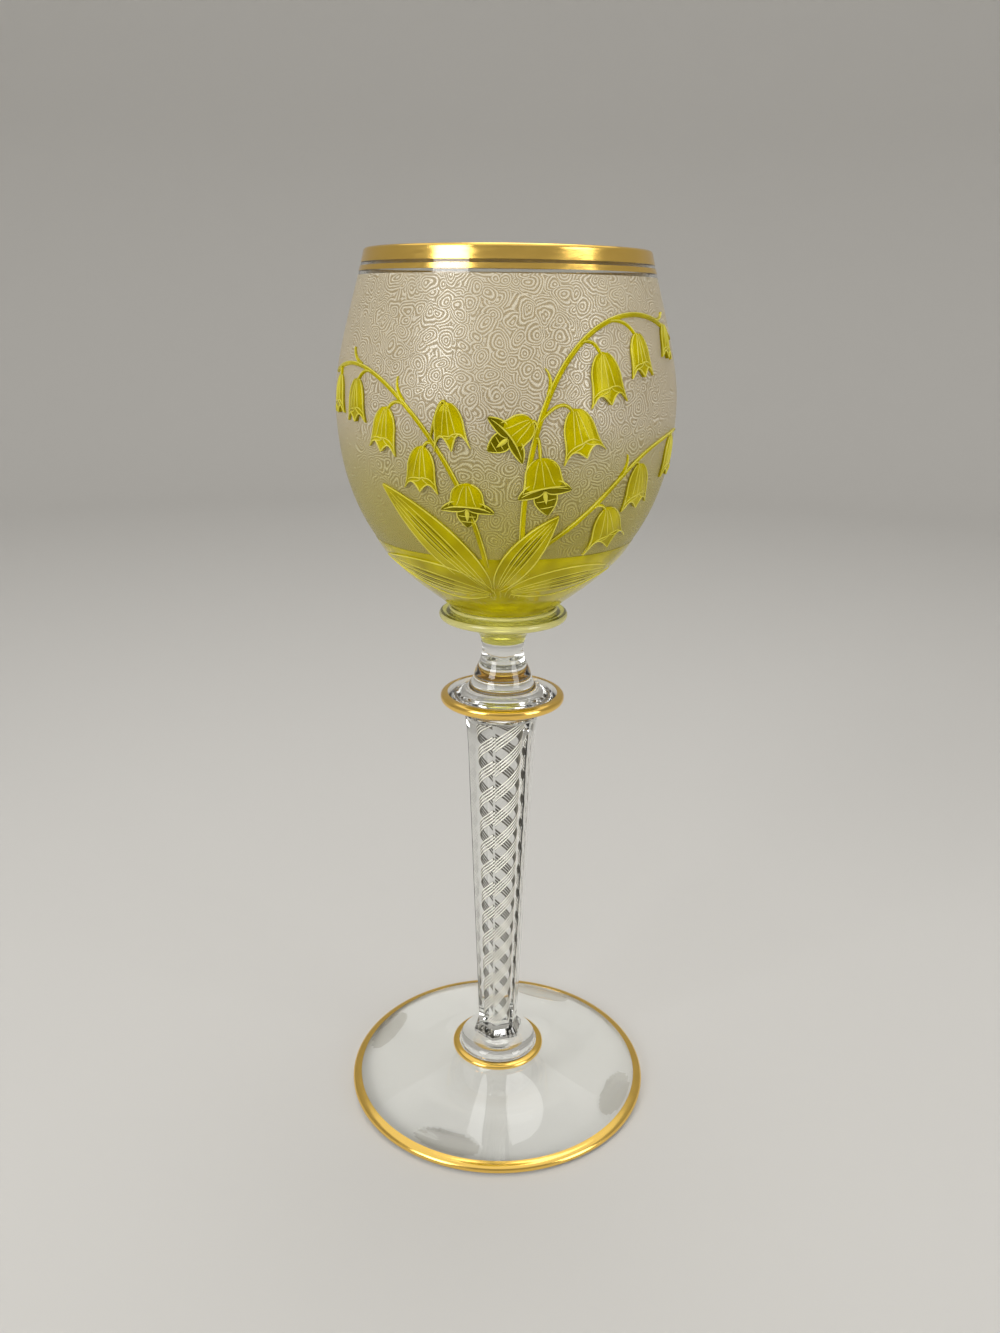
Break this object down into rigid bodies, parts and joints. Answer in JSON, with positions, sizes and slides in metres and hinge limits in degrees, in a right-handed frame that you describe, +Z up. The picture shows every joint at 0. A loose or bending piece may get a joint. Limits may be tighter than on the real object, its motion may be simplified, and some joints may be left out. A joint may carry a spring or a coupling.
{
  "type": "cameo glass goblet",
  "caption": "Stemmed drinking glass with an etched egg-shaped bowl, carved green bellflower overlay, gilt lines, twisted-thread stem and a round foot.",
  "frame": {"origin": "middle of the foot's underside, on the surface that the goblet stands on", "axes": "+Z up along the stem to the open bowl; -Y is the front, with the three sprays that the picture shows"},
  "size_m": [0.0746, 0.0746, 0.2],
  "materials": {
    "clear_crystal": "clear fire-polished crystal",
    "etched_crystal": "crystal acid-etched outside with a maze of fine lines, polished below the lip and inside",
    "green_glass": "yellow-green glass, fire-polished",
    "green_overlay": "yellow-green overlay glass, etched back to relief and polished",
    "fired_gilding": "burnished fired gold",
    "thread_glass": "silvery white twisted threads inside the clear stem"
  },
  "bodies": {
    "root": {"foot_disc": "clear_crystal", "foot_merese": "clear_crystal", "foot_knop": "clear_crystal", "faceted_knop": "clear_crystal", "stem_casing": "clear_crystal", "stem_core": "clear_crystal", "lower_collar": "clear_crystal", "neck": "clear_crystal", "bowl": "etched_crystal", "upper_collar": "green_glass", "bowl_seat_ring": "green_glass", "cameo_leaf_cup": "green_overlay", "cameo_spray_front_left": "green_overlay", "cameo_spray_front_right": "green_overlay", "cameo_spray_front_low": "green_overlay", "cameo_spray_back_left": "green_overlay", "cameo_spray_back_right": "green_overlay", "cameo_spray_back_low": "green_overlay", "foot_rim_gilding": "fired_gilding", "foot_merese_gilding": "fired_gilding", "lower_collar_gilding": "fired_gilding", "rim_gilt_band": "fired_gilding", "rim_gilt_line": "fired_gilding", "twist_thread_01": "thread_glass", "twist_thread_02": "thread_glass", "twist_thread_03": "thread_glass", "twist_thread_04": "thread_glass", "twist_thread_05": "thread_glass", "twist_thread_06": "thread_glass", "twist_thread_07": "thread_glass", "twist_thread_08": "thread_glass", "twist_thread_09": "thread_glass", "twist_thread_10": "thread_glass", "twist_thread_11": "thread_glass", "twist_thread_12": "thread_glass"}
  },
  "joints": []
}
